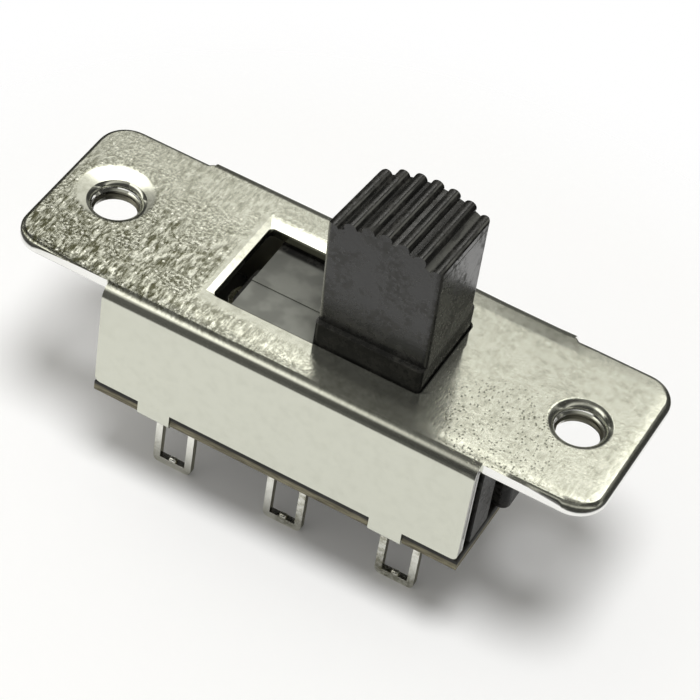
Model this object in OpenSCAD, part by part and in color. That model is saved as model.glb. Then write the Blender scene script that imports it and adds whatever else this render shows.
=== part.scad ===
// Panel-mount slide switch, two poles and two positions.
// A folded steel frame holds a moulded slider over a terminal board.
// Millimetres, +Z up. The origin is on the floor under the middle of the
// switch, so the tips of the solder lugs are at Z = 0. X runs along the slide.

/* [Frame] */
// Length of the top plate over both ears
plate_length = 35.5; // [34:0.1:40]
// Width of the folded channel
body_width = 12.4; // [12.2:0.1:15]
// Length of the folded channel
body_length = 22.6; // [21.8:0.1:23.4]
// Height of the channel, from the top plate to the lower edge of its walls
body_depth = 7.2; // [6.8:0.1:10]
// Thickness of the sheet steel
sheet = 0.6; // [0.4:0.05:0.7]
// Inner radius of the two long bends
inner_bend_radius = 0.2; // [0.1:0.05:0.4]
// Width of the two ears
ear_width = 11.1; // [8:0.1:11.2]
// Radius of the ears' corners
ear_corner_radius = 1.8; // [0.5:0.1:3]

/* [Mounting holes] */
// Distance between the two mounting holes
hole_pitch = 28.6; // [28.2:0.1:29.2]
// Diameter of the tapped hole at the thread crests
thread_bore = 2.7; // [2:0.1:3.2]
// Thickness of the collar drawn down around each hole
collar_wall = 0.45; // [0.3:0.05:0.8]
// Height of the drawn collar, with the sheet
collar_depth = 1.3; // [1.2:0.1:2]
// Radius of the rounded entry to each hole
entry_radius = 0.5; // [0.2:0.05:0.55]

/* [Slot] */
// Length of the slot in the top plate
slot_length = 12.6; // [12:0.1:13]
// Width of the slot in the top plate
slot_width = 6.3; // [5.8:0.1:7]
// Radius of the slot's corners
slot_corner_radius = 0.3; // [0.1:0.1:0.5]

/* [Crimp tabs] */
// Width of each of the four tabs that hold the board
tab_width = 2; // [1.5:0.1:3]
// Distance between the two tabs on one wall, centre to centre
tab_pitch = 14.5; // [12:0.1:16]
// How far the tabs sit off the middle, towards the left
tab_shift = 0.25; // [0:0.05:0.5]
// Length of each tab's fold under the board, from the outer face of the wall
tab_reach = 1.7; // [1:0.1:1.9]
// Thickness of the fold, which is pressed thinner than the sheet
tab_fold = 0.3; // [0.2:0.05:0.4]
// Outer radius of each tab's bend
tab_bend_radius = 0.5; // [0.3:0.05:0.6]

/* [Knob] */
// Length of the knob along the slide
knob_length = 6.5; // [6:0.1:7]
// Width of the knob above its collar
knob_width = 5.5; // [4.6:0.1:5.6]
// Lean of the knob's front and back faces, in degrees
knob_draft = 1; // [0:0.5:3]
// Height of the crown above the top plate
knob_height = 9.15; // [7.5:0.05:12]
// Height of the wider collar at the foot of the knob
knob_collar_height = 1.45; // [0.6:0.05:2.5]
// Radius of the knob's upright edges
knob_edge_radius = 0.3; // [0.2:0.05:0.8]
// Radius of the crown along the slide
crown_radius = 5.8; // [5:0.1:12]
// Distance between the finger ridges
ridge_pitch = 0.98; // [0.7:0.01:1.1]
// Radius of each finger ridge
ridge_radius = 0.36; // [0.2:0.01:0.4]
// Depth of the valleys between the ridges
ridge_depth = 0.4; // [0.2:0.01:0.5]
// Number of ridges
ridge_count = 7; // [3:2:7]

/* [Slider carriage] */
// Length of the carriage inside the channel
carriage_length = 17; // [16:0.1:17.2]
// Gap between the carriage and each side wall
carriage_side_gap = 0.3; // [0.2:0.05:0.5]
// Height of the carriage
carriage_height = 5.75; // [5.3:0.05:6]
// Depth of the recess along the carriage's top, which shows through the slot
recess_depth = 0.35; // [0.1:0.05:0.5]
// How far the recess runs past each side of the slot
recess_margin = 0.15; // [0.05:0.05:0.3]
// Width of the rib along the middle of the recess
rib_width = 0.3; // [0.2:0.05:0.8]
// Height of the rib along the middle of the recess
rib_height = 0.1; // [0.05:0.05:0.2]
// Width of each of the two grooves in the carriage's ends
end_groove_width = 1.45; // [0.8:0.05:1.6]
// Depth of the grooves in the carriage's ends
end_groove_depth = 0.8; // [0.3:0.1:1]
// Distance of the end grooves from the middle, centre to centre across
end_groove_pitch = 5.05; // [4.6:0.05:6]
// Thickness of the carriage above the grooves
groove_cover = 1; // [0.6:0.1:1.5]
// Width of the barrier between the poles
barrier_width = 3.2; // [2:0.1:3.4]
// How far the barrier stands out of each end of the carriage
barrier_overhang = 0.45; // [0.2:0.05:0.6]
// Radius of the barrier's corners
barrier_corner_radius = 0.5; // [0.2:0.1:0.8]

/* [Terminal board] */
// Thickness of the board
board_thickness = 0.9; // [0.8:0.05:1.6]
// How far each long edge of the board stays inside the wall's outer face
board_edge_inset = 0.1; // [0.05:0.05:0.2]
// How far the board stands out of each end of the channel
board_overhang = 0.05; // [0:0.05:0.3]

/* [Terminals] */
// Distance between neighbouring terminals along the slide
terminal_pitch = 7.2; // [7:0.05:7.4]
// Distance between the two rows of terminals
row_pitch = 7.2; // [7:0.05:7.3]
// Width of a solder lug
lug_width = 2.45; // [2:0.05:3]
// Thickness of the terminal strip
lug_thickness = 0.4; // [0.3:0.05:0.6]
// Length of a lug below the board
lug_length = 6; // [4.5:0.1:9]
// Width of the legs beside the wire eye
lug_leg = 0.42; // [0.3:0.01:0.6]
// Height of the bar under the wire eye
lug_bar = 0.45; // [0.3:0.05:0.8]
// Height of the wire eye
eye_height = 3.3; // [1.5:0.1:4]
// Width of the shank that passes through the board
shank_width = 1.6; // [1:0.1:1.8]
// Diameter of the contact head inside
head_diameter = 2.4; // [1.8:0.1:2.6]
// Height of the contact head above the board
head_height = 0.5; // [0.3:0.05:0.6]

/* [Contact bridges and springs] */
// Length of each bridge over its turned-up ends
bridge_length = 9.6; // [9.2:0.1:9.8]
// Width of each bridge
bridge_width = 2.2; // [1.8:0.1:2.3]
// Thickness of each bridge
bridge_thickness = 0.4; // [0.25:0.05:0.5]
// Radius of the bridge's turned-up ends
bridge_turn_radius = 1; // [0.8:0.1:1.2]
// Diameter of the stud that centres the spring
stud_diameter = 1.4; // [1:0.1:1.4]
// Height of the stud that centres the spring
stud_height = 0.5; // [0.3:0.1:0.8]
// Outer diameter of each spring
spring_diameter = 2.2; // [2.1:0.05:2.3]
// Diameter of the spring wire
spring_wire = 0.3; // [0.2:0.02:0.3]
// Number of turns in each spring
spring_turns = 6; // [3:1:8]
// Depth of the pocket that each bridge rides in
pocket_depth = 2; // [1.6:0.1:2.4]
// Depth of the spring well above each pocket
well_depth = 2.5; // [1.5:0.1:2.8]

/* [Clearances] */
// Gap between the knob's collar and each side of the slot
slot_gap = 0.05; // [0.02:0.01:0.1]
// Gap left between the knob and the slot's end at each stop
stop_gap = 0.05; // [0.02:0.01:0.1]
// Gap between the carriage and the underside of the top plate
plate_gap = 0.05; // [0.02:0.01:0.1]
// Gap between the barrier and the board
barrier_gap = 0.1; // [0.05:0.05:0.2]
// Gap around the shanks and the crimp tabs in the board
board_gap = 0.05; // [0.02:0.01:0.1]
// Gap between a bridge and the contact heads
contact_gap = 0.02; // [0.01:0.01:0.05]
// Gap around a bridge in its pocket
pocket_gap = 0.15; // [0.05:0.05:0.25]
// Gap around a spring in its well
well_gap = 0.2; // [0.1:0.05:0.25]
// Gap at each end of a spring
spring_end_gap = 0.02; // [0.01:0.01:0.05]

/* [Hidden] */

$fn = 64;
over = 0.5; // how far a cutting solid runs past the face that it cuts
overlap = 0.2; // how far the solids of one piece run into each other
front = -1;
rear = 1;
left = -1;
right = 1;

// Heights above the floor
board_bottom = lug_length;
board_top = board_bottom + board_thickness;
plate_top = board_top + body_depth;
plate_bottom = plate_top - sheet;

// Frame
bend_radius = inner_bend_radius + sheet;
inner_width = body_width - 2 * sheet;
flat_width = body_width - 2 * bend_radius;
collar_diameter = thread_bore + 2 * collar_wall;

// Slider: it rests against the stop at the right-hand end of the slot
travel = slot_length - knob_length - 2 * stop_gap;
slider_x = travel / 2;
collar_width = slot_width - 2 * slot_gap;
collar_top = plate_top + knob_collar_height;
carriage_width = inner_width - 2 * carriage_side_gap;
carriage_top = plate_bottom - plate_gap;
carriage_bottom = carriage_top - carriage_height;
recess_floor = carriage_top - recess_depth;
recess_width = slot_width + 2 * recess_margin;
groove_top = carriage_top - groove_cover;
knob_root = recess_floor - overlap;
barrier_bottom = board_top + barrier_gap;
crown_top = plate_top + knob_height;
crown_centre = crown_top - crown_radius;

// Terminals, bridges and springs
row_y = row_pitch / 2;
head_top = board_top + head_height;
bridge_bottom = head_top + contact_gap;
bridge_top = bridge_bottom + bridge_thickness;
pocket_top = carriage_bottom + pocket_depth;
well_top = pocket_top + well_depth;
turn_inner_radius = bridge_turn_radius - bridge_thickness;

// Spring wire
wire_sides = 8;
rings_per_turn = 18;
coil_radius = (spring_diameter - spring_wire) / 2;
spring_bottom = bridge_top + spring_end_gap;
spring_rise = well_top - spring_end_gap - spring_wire - spring_bottom;
ring_count = spring_turns * rings_per_turn;

steel = [0.80, 0.79, 0.74];
black_plastic = [0.13, 0.13, 0.12];
laminate = [0.42, 0.37, 0.22];
tinned_brass = [0.86, 0.86, 0.82];
copper_alloy = [0.80, 0.56, 0.30];
spring_steel = [0.62, 0.63, 0.65];

// A rectangle centred on the origin, with round corners
module rounded_rectangle(size, radius) {
    corner = [size[0] / 2 - radius, size[1] / 2 - radius];
    square([size[0], 2 * corner[1]], center = true);
    square([2 * corner[0], size[1]], center = true);
    for (sx = [-1, 1], sy = [-1, 1])
        translate([sx * corner[0], sy * corner[1]]) circle(radius);
}

// Extrudes an outline drawn in Y and Z along X, centred
module along_x(length) {
    rotate([90, 0, 90]) linear_extrude(length, center = true) children();
}

// Extrudes an outline drawn in X and Z along Y, centred
module along_y(width) {
    rotate([90, 0, 0]) linear_extrude(width, center = true) children();
}

// Outline of the channel seen from its end: open below, with round upper corners
module channel_outline(width, bottom, top, radius) {
    translate([-width / 2, bottom]) square([width, top - radius - bottom]);
    translate([radius - width / 2, bottom]) square([width - 2 * radius, top - bottom]);
    for (side = [front, rear]) translate([side * (width / 2 - radius), top - radius]) circle(radius);
}

// Outline of the top plate seen from above, without its holes
module plate_outline() {
    square([body_length + 2 * overlap, flat_width], center = true);
    difference() {
        rounded_rectangle([plate_length, ear_width], ear_corner_radius);
        square([body_length, ear_width + 2 * over], center = true);
    }
}

// Distance of a tab from the middle of the frame
function tab_x(end) = end * tab_pitch / 2 - tab_shift;

// The crimp tab on the wall at +Y, seen from the end
module tab_outline() {
    outer = body_width / 2;
    fold_bottom = board_bottom - tab_fold;
    difference() {
        union() {
            translate([outer - sheet, fold_bottom]) square([sheet, board_top + overlap - fold_bottom]);
            translate([outer - tab_reach, fold_bottom]) square([tab_reach, tab_fold]);
        }
        translate([outer - tab_bend_radius, fold_bottom + tab_bend_radius]) difference() {
            translate([0, -tab_bend_radius - over]) square(tab_bend_radius + over);
            circle(tab_bend_radius);
        }
    }
}

// What is cut out for a mounting hole: the bore and its rounded entry. Z = 0 is the plate's top.
module mounting_hole() {
    bore_radius = thread_bore / 2;
    translate([0, 0, -collar_depth - over]) cylinder(r = bore_radius, h = collar_depth + 2 * over);
    rotate_extrude() difference() {
        translate([0, -entry_radius]) square([bore_radius + entry_radius, entry_radius + over]);
        translate([bore_radius + entry_radius, -entry_radius]) circle(entry_radius);
    }
}

module frame() {
    color(steel) difference() {
        union() {
            along_x(body_length) difference() {
                channel_outline(body_width, board_top, plate_top, bend_radius);
                channel_outline(inner_width, board_top - over, plate_bottom, inner_bend_radius);
            }
            translate([0, 0, plate_bottom]) linear_extrude(sheet) plate_outline();
            for (end = [left, right]) translate([end * hole_pitch / 2, 0, plate_top - collar_depth])
                cylinder(d = collar_diameter, h = collar_depth - sheet / 2);
            for (end = [left, right], side = [0, 1]) mirror([0, side, 0])
                translate([tab_x(end), 0, 0]) along_x(tab_width) tab_outline();
        }
        translate([0, 0, plate_bottom - over]) linear_extrude(sheet + 2 * over)
            rounded_rectangle([slot_length, slot_width], slot_corner_radius);
        for (end = [left, right]) translate([end * hole_pitch / 2, 0, plate_top]) mounting_hole();
    }
}

// The knob seen from the front, with its ridged crown
module crown_outline() {
    intersection() {
        translate([-knob_length / 2, knob_root]) square([knob_length, crown_top - knob_root]);
        union() {
            translate([-knob_length / 2, knob_root]) square([knob_length, crown_centre - knob_root]);
            translate([0, crown_centre]) circle(crown_radius - ridge_depth);
            for (i = [0 : ridge_count - 1]) {
                x = (i - (ridge_count - 1) / 2) * ridge_pitch;
                rise = sqrt(pow(crown_radius - ridge_radius, 2) - x * x);
                translate([x, crown_centre + rise]) circle(ridge_radius);
            }
        }
    }
}

// A block with its front face where the knob's is, leaning back as it rises
module leaning_block() {
    translate([0, -knob_width / 2, collar_top]) rotate([-knob_draft, 0, 0])
        translate([0, knob_width, -knob_collar_height / 2])
            linear_extrude(knob_height) rounded_rectangle([knob_length, 2 * knob_width], knob_edge_radius);
}

module knob() {
    intersection() {
        along_y(collar_width) crown_outline();
        leaning_block();
        mirror([0, 1, 0]) leaning_block();
    }
    translate([0, 0, knob_root]) linear_extrude(collar_top - knob_root)
        rounded_rectangle([knob_length, collar_width], slot_corner_radius);
}

// The pocket for one bridge, with the well for its spring
module bridge_pocket() {
    pocket = [bridge_length + 2 * pocket_gap, bridge_width + 2 * pocket_gap];
    translate([0, 0, (carriage_bottom - over + pocket_top) / 2])
        cube([pocket[0], pocket[1], pocket_depth + over], center = true);
    translate([0, 0, pocket_top - over])
        cylinder(d = spring_diameter + 2 * well_gap, h = well_depth + over);
}

module carriage() {
    difference() {
        translate([0, 0, (carriage_bottom + carriage_top) / 2])
            cube([carriage_length, carriage_width, carriage_height], center = true);
        for (end = [left, right], side = [front, rear])
            translate([end * carriage_length / 2, side * end_groove_pitch / 2, groove_top - carriage_height])
                linear_extrude(carriage_height)
                    square([2 * end_groove_depth, end_groove_width], center = true);
        for (side = [front, rear]) translate([0, side * row_y, 0]) bridge_pocket();
        translate([0, 0, carriage_top])
            cube([carriage_length + 2 * over, recess_width, 2 * recess_depth], center = true);
    }
    translate([0, 0, recess_floor]) cube([carriage_length, rib_width, 2 * rib_height], center = true);
    translate([0, 0, barrier_bottom]) linear_extrude(groove_top - barrier_bottom)
        rounded_rectangle([carriage_length + 2 * barrier_overhang, barrier_width], barrier_corner_radius);
}

module slider() {
    color(black_plastic) translate([slider_x, 0, 0]) {
        carriage();
        knob();
    }
}

module terminal_board() {
    board = [body_length + 2 * board_overhang, body_width - 2 * board_edge_inset];
    notch = [tab_width + 2 * board_gap, 2 * (sheet + board_gap)];
    shank_slot = [shank_width + 2 * board_gap, lug_thickness + 2 * board_gap];
    color(laminate) translate([0, 0, board_bottom]) linear_extrude(board_thickness) difference() {
        square(board, center = true);
        for (end = [left, right], side = [front, rear])
            translate([tab_x(end), side * body_width / 2]) square(notch, center = true);
        for (column = [left, 0, right], side = [front, rear])
            translate([column * terminal_pitch, side * row_y]) square(shank_slot, center = true);
    }
}

// A terminal: the lug with its wire eye, the shank through the board and the contact head
module terminal(column, side) {
    eye_width = lug_width - 2 * lug_leg;
    color(tinned_brass) translate([column * terminal_pitch, side * row_y, 0]) {
        along_y(lug_thickness) difference() {
            union() {
                translate([-lug_width / 2, 0]) square([lug_width, lug_length]);
                translate([-shank_width / 2, 0]) square([shank_width, board_top + overlap]);
            }
            translate([-eye_width / 2, lug_bar]) square([eye_width, eye_height]);
        }
        translate([0, 0, board_top]) cylinder(d = head_diameter, h = head_height);
    }
}

// The turned-up end of a bridge at +X, seen from the front, from the centre of its bend
module turned_end() {
    intersection() {
        difference() {
            circle(bridge_turn_radius);
            circle(turn_inner_radius);
        }
        translate([0, -bridge_turn_radius]) square(bridge_turn_radius);
    }
}

module contact_bridge(side) {
    flat_length = bridge_length - 2 * bridge_turn_radius;
    color(copper_alloy) translate([slider_x, side * row_y, bridge_bottom]) {
        along_y(bridge_width) {
            translate([-flat_length / 2, 0]) square([flat_length, bridge_thickness]);
            for (flip = [0, 1]) mirror([flip, 0])
                translate([flat_length / 2, bridge_turn_radius]) turned_end();
        }
        translate([0, 0, bridge_thickness / 2])
            cylinder(d = stud_diameter, h = stud_height + bridge_thickness / 2);
    }
}

// One ring of points around the spring wire, at the given step along the coil
function wire_ring(step) = let (turn = 360 * step / rings_per_turn,
                                height = spring_wire / 2 + spring_rise * step / ring_count)
    [for (i = [0 : wire_sides - 1]) let (a = 360 * i / wire_sides,
                                         r = coil_radius + spring_wire / 2 * cos(a))
        [r * cos(turn), r * sin(turn), height + spring_wire / 2 * sin(a)]];

module contact_spring(side) {
    points = [for (step = [0 : ring_count]) each wire_ring(step)];
    last = ring_count * wire_sides;
    sides = [for (step = [0 : ring_count - 1], i = [0 : wire_sides - 1])
        let (j = (i + 1) % wire_sides, a = step * wire_sides, b = a + wire_sides)
            each [[a + i, b + i, b + j], [a + i, b + j, a + j]]];
    start_cap = [[for (i = [0 : wire_sides - 1]) i]];
    end_cap = [[for (i = [wire_sides - 1 : -1 : 0]) last + i]];
    color(spring_steel) translate([slider_x, side * row_y, spring_bottom])
        polyhedron(points, concat(sides, start_cap, end_cap));
}

frame();
slider();
terminal_board();
terminal(left, front);  // terminal_front_left
terminal(0, front);  // terminal_front_centre
terminal(right, front);  // terminal_front_right
terminal(left, rear);  // terminal_rear_left
terminal(0, rear);  // terminal_rear_centre
terminal(right, rear);  // terminal_rear_right
contact_bridge(front);  // contact_bridge_front
contact_bridge(rear);  // contact_bridge_rear
contact_spring(front);  // contact_spring_front
contact_spring(rear);  // contact_spring_rear
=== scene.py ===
import math
import bmesh
import bpy
from mathutils import Matrix, Vector


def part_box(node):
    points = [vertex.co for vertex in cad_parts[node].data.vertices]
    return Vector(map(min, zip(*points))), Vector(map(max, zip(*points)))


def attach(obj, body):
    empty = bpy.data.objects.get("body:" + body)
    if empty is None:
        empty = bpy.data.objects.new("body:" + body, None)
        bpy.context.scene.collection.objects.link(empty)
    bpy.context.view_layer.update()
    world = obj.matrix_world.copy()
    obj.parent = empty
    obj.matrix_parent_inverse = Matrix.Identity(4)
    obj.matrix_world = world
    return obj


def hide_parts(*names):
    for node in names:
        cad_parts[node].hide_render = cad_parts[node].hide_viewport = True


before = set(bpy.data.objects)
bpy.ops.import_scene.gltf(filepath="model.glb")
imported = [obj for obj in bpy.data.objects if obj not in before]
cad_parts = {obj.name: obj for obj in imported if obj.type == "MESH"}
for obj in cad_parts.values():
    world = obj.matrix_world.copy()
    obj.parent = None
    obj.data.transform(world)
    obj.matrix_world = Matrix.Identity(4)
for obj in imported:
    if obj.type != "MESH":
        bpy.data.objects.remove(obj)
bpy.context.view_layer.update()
mm = 0.001

# heights and places that the pieces share, read from the frame
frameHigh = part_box("frame")[1]
boardLow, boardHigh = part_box("terminal_board")
plateTop = frameHigh.z
print("frame loaded:", len(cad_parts), "nodes")


cameraSetup = {
    "azimuth": 21.738,  # degrees to the right of the front
    "elevation": 45.936,
    "roll": 9.994,
    "distance": 158.516 * mm,
    "aim": (1.768 * mm, -2.459 * mm, 14.1 * mm),
    "lens": 154.286,
    "clipStart": 10 * mm,
}


def addCamera(setup):
    azimuth, elevation = math.radians(setup["azimuth"]), math.radians(setup["elevation"])
    back = Vector((math.sin(azimuth) * math.cos(elevation),
                   -math.cos(azimuth) * math.cos(elevation),
                   math.sin(elevation)))
    level = back.to_track_quat("Z", "Y").to_matrix()
    turn = level @ Matrix.Rotation(math.radians(setup["roll"]), 3, "Z")
    bpy.ops.object.camera_add(location=Vector(setup["aim"]) + back * setup["distance"])
    camera = bpy.context.object
    camera.rotation_euler = turn.to_euler()
    camera.data.lens = setup["lens"]
    camera.data.clip_start = setup["clipStart"]
    bpy.context.scene.camera = camera


addCamera(cameraSetup)
print("camera set")


meshCare = {
    "mergeWithin": 0.0004 * mm,
    "flatWithin": 0.4,  # degrees between two faces that are really one
    "sharpest": 35,  # degrees past which an edge is rounded
    "smoothBelow": 40,
    "dishCrease": 3,
    "runShare": 0.8,  # the share of an edge's length that lies along an axis when it runs along it
}


def deselectAll():
    if bpy.context.object and bpy.context.object.mode != "OBJECT":
        bpy.ops.object.mode_set(mode="OBJECT")
    bpy.ops.object.select_all(action="DESELECT")


def pickOnly(piece):
    deselectAll()
    piece.select_set(True)
    bpy.context.view_layer.objects.active = piece


def startEdit(piece, action="SELECT"):
    pickOnly(piece)
    bpy.ops.object.mode_set(mode="EDIT")
    bpy.ops.mesh.select_all(action=action)


def endEdit():
    bpy.ops.object.mode_set(mode="OBJECT")


def mergedCopy(node, name):
    # a CAD node's mesh is loose triangles, so its copy is merged before it is worked on
    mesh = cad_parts[node].data.copy()
    mesh.materials.clear()
    piece = bpy.data.objects.new(name, mesh)
    bpy.context.scene.collection.objects.link(piece)
    pickOnly(piece)
    if mesh.has_custom_normals:
        bpy.ops.mesh.customdata_custom_splitnormals_clear()
    startEdit(piece)
    bpy.ops.mesh.remove_doubles(threshold=meshCare["mergeWithin"])
    bpy.ops.mesh.dissolve_limited(angle_limit=math.radians(meshCare["flatWithin"]))
    endEdit()
    return piece


def mergeClose(piece):
    # where two bevels meet they leave faces without any area
    startEdit(piece)
    bpy.ops.mesh.remove_doubles(threshold=meshCare["mergeWithin"])
    endEdit()


def runsAlong(edge, axis):
    # axis 0 is X, 1 is Y and 2 is Z
    return abs(edge.verts[0].co[axis] - edge.verts[1].co[axis]) > meshCare["runShare"] * edge.calc_length()


def roundEdges(piece, width, segments, wanted, sharpest=meshCare["sharpest"]):
    # bevels the sharp edges that the test picks
    startEdit(piece, "DESELECT")
    bpy.ops.mesh.select_mode(type="EDGE")
    form = bmesh.from_edit_mesh(piece.data)
    for edge in form.edges:
        if len(edge.link_faces) == 2 and edge.calc_face_angle() > math.radians(sharpest):
            edge.select = wanted((edge.verts[0].co + edge.verts[1].co) / 2, edge)
    form.select_flush_mode()
    bmesh.update_edit_mesh(piece.data)
    bpy.ops.mesh.bevel(offset=width, segments=segments, affect="EDGES", clamp_overlap=True)
    endEdit()


def sharpenBorders(piece, isDish):
    # a dished face keeps its own shading up to its edges
    startEdit(piece, "DESELECT")
    bpy.ops.mesh.select_mode(type="EDGE")
    form = bmesh.from_edit_mesh(piece.data)
    for edge in form.edges:
        if len(edge.link_faces) == 2:
            first, second = [isDish(face) for face in edge.link_faces]
            creased = edge.calc_face_angle() > math.radians(meshCare["dishCrease"])
            edge.select = first != second or (first and creased)
    bmesh.update_edit_mesh(piece.data)
    bpy.ops.mesh.mark_sharp()
    endEdit()


def smoothByAngle(piece, degrees=meshCare["smoothBelow"], isDish=None):
    pickOnly(piece)
    bpy.ops.object.shade_smooth_by_angle(angle=math.radians(degrees))
    if isDish:
        sharpenBorders(piece, isDish)
    even = piece.modifiers.new("even", "WEIGHTED_NORMAL")
    even.keep_sharp = True
    bpy.ops.object.modifier_apply(modifier=even.name)


def finishPiece(piece, body, slot, material, *nodes):
    piece.data.materials.clear()
    piece.data.materials.append(material)
    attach(piece, body)
    if nodes:
        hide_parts(*nodes)


def addNode(tree, kind, place, **values):
    node = tree.nodes.new(kind)
    node.location = place
    for name, value in values.items():
        setattr(node, name, value)
    return node


def setInputs(node, **values):
    for name, value in values.items():
        node.inputs[name.replace("_", " ")].default_value = value
    return node


def fillInput(tree, socket, value):
    # a number or a colour is set on the socket, and anything else is linked to it
    if isinstance(value, (int, float)):
        socket.default_value = value
    elif isinstance(value, tuple):
        socket.default_value = (*value, 1)
    else:
        tree.links.new(value, socket)


def newMaterial(name):
    material = bpy.data.materials.new(name)
    material.use_nodes = True
    tree = material.node_tree
    tree.nodes.clear()
    output = addNode(tree, "ShaderNodeOutputMaterial", (900, 0))
    surface = addNode(tree, "ShaderNodeBsdfPrincipled", (600, 0))
    tree.links.new(surface.outputs["BSDF"], output.inputs["Surface"])
    return material, tree, surface


def newGroup(name, inputs, outputs):
    group = bpy.data.node_groups.new(name, "ShaderNodeTree")
    for label, kind, value in inputs:
        socket = group.interface.new_socket(name=label, in_out="INPUT", socket_type="NodeSocket" + kind)
        if value is not None:
            socket.default_value = value
    for label in outputs:
        group.interface.new_socket(name=label, in_out="OUTPUT", socket_type="NodeSocketFloat")
    entry = addNode(group, "NodeGroupInput", (-800, 0))
    leave = addNode(group, "NodeGroupOutput", (800, 0))
    return group, entry, leave


def placeGroup(tree, group, place, vector, **values):
    node = setInputs(addNode(tree, "ShaderNodeGroup", place, node_tree=group), **values)
    tree.links.new(vector, node.inputs["Vector"])
    return node


def remap(tree, place, source, span, levels=(0.0, 1.0), smooth=True):
    # the span's two ends give the two levels, and nothing goes past them
    node = addNode(tree, "ShaderNodeMapRange", place, clamp=True)
    node.interpolation_type = "SMOOTHSTEP" if smooth else "LINEAR"
    for label, value in zip(("From Min", "From Max", "To Min", "To Max"), (*span, *levels)):
        node.inputs[label].default_value = value
    tree.links.new(source, node.inputs["Value"])
    return node.outputs["Result"]


def mathNode(tree, place, operation, *values):
    # one operation, carried along a row of values
    result = values[0]
    for index, value in enumerate(values[1:]):
        node = addNode(tree, "ShaderNodeMath", (place[0] + 160 * index, place[1]), operation=operation)
        fillInput(tree, node.inputs[0], result)
        fillInput(tree, node.inputs[1], value)
        result = node.outputs[0]
    return result


def product(tree, place, *factors):
    return mathNode(tree, place, "MULTIPLY", *factors)


def absolute(tree, place, value):
    return mathNode(tree, place, "ABSOLUTE", value, 0.0)


def mixColour(tree, place, factor, first, second):
    node = addNode(tree, "ShaderNodeMix", place, data_type="RGBA")
    for index, value in ((0, factor), (6, first), (7, second)):
        fillInput(tree, node.inputs[index], value)
    return node.outputs[2]


def mixLevels(tree, place, factor, first, second):
    node = addNode(tree, "ShaderNodeMix", place, data_type="FLOAT")
    for index, value in ((0, factor), (2, first), (3, second)):
        fillInput(tree, node.inputs[index], value)
    return node.outputs[0]


def distanceFrom(tree, place, vector, point):
    node = addNode(tree, "ShaderNodeVectorMath", place, operation="DISTANCE")
    tree.links.new(vector, node.inputs[0])
    node.inputs[1].default_value = point
    return node.outputs["Value"]


def inMillimetres(tree, place, scale=(1.0, 1.0, 1.0)):
    # object coordinates in millimetres, drawn out where the scale is under one
    coordinates = addNode(tree, "ShaderNodeTexCoord", place)
    sized = addNode(tree, "ShaderNodeMapping", (place[0] + 200, place[1]))
    sized.inputs["Scale"].default_value = [1000.0 * share for share in scale]
    tree.links.new(coordinates.outputs["Object"], sized.inputs["Vector"])
    return sized.outputs["Vector"]


def axesOf(tree, place, vector):
    split = addNode(tree, "ShaderNodeSeparateXYZ", place)
    tree.links.new(vector, split.inputs["Vector"])
    return split.outputs["X"], split.outputs["Y"], split.outputs["Z"]


def addBump(tree, surface, height, strength, distance):
    bump = setInputs(addNode(tree, "ShaderNodeBump", (200, -400)), Strength=strength, Distance=distance)
    tree.links.new(height, bump.inputs["Height"])
    tree.links.new(bump.outputs["Normal"], surface.inputs["Normal"])


def fromHeight(base, steps):
    return [base + step for step in steps]


grainShape = {
    "fine": {"Detail": 2.5, "Roughness": 0.65},
    "broad": {"Detail": 2.0, "Roughness": 0.5},
    "fineSpan": (0.1, 0.9),
    "broadSpan": (0.32, 0.68),
    "pitEdge": (0.0, 0.15),
}


def makeGrainGroup(shape):
    # uneven grain: a fine noise with its contrast set, and a broad one to break it up with
    group, entry, leave = newGroup(
        "unevenGrain",
        [("Vector", "Vector", None), ("Fine Scale", "Float", 6.0), ("Broad Scale", "Float", 0.6),
         ("Contrast", "Float", 1.0)],
        ["Mask", "Broad"])
    fine = setInputs(addNode(group, "ShaderNodeTexNoise", (-500, 100)), **shape["fine"])
    broad = setInputs(addNode(group, "ShaderNodeTexNoise", (-500, -150)), **shape["broad"])
    for noise, scale in ((fine, "Fine Scale"), (broad, "Broad Scale")):
        group.links.new(entry.outputs["Vector"], noise.inputs["Vector"])
        group.links.new(entry.outputs[scale], noise.inputs["Scale"])
    centred = mathNode(group, (-250, 100), "SUBTRACT", fine.outputs["Fac"], 0.5)
    scaled = mathNode(group, (-50, 100), "MULTIPLY", centred, entry.outputs["Contrast"])
    shifted = mathNode(group, (150, 100), "ADD", scaled, 0.5)
    group.links.new(remap(group, (350, 100), shifted, shape["fineSpan"]), leave.inputs["Mask"])
    group.links.new(remap(group, (-250, -150), broad.outputs["Fac"], shape["broadSpan"]), leave.inputs["Broad"])
    return group


def makePitGroup(shape):
    # small round spots at random places
    group, entry, leave = newGroup(
        "smallPits",
        [("Vector", "Vector", None), ("Scale", "Float", 3.0), ("Size", "Float", 0.25), ("Share", "Float", 0.5)],
        ["Mask"])
    cells = addNode(group, "ShaderNodeTexVoronoi", (-500, 0))
    group.links.new(entry.outputs["Vector"], cells.inputs["Vector"])
    group.links.new(entry.outputs["Scale"], cells.inputs["Scale"])
    nearness = mathNode(group, (-250, 0), "SUBTRACT", entry.outputs["Size"], cells.outputs["Distance"])
    disc = remap(group, (0, 0), nearness, shape["pitEdge"])
    chance = mathNode(group, (-250, -200), "LESS_THAN", cells.outputs["Color"], entry.outputs["Share"])
    group.links.new(product(group, (250, 0), disc, chance), leave.inputs["Mask"])
    return group


grainGroup = makeGrainGroup(grainShape)
pitGroup = makePitGroup(grainShape)
print("grain and pits made")


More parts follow.
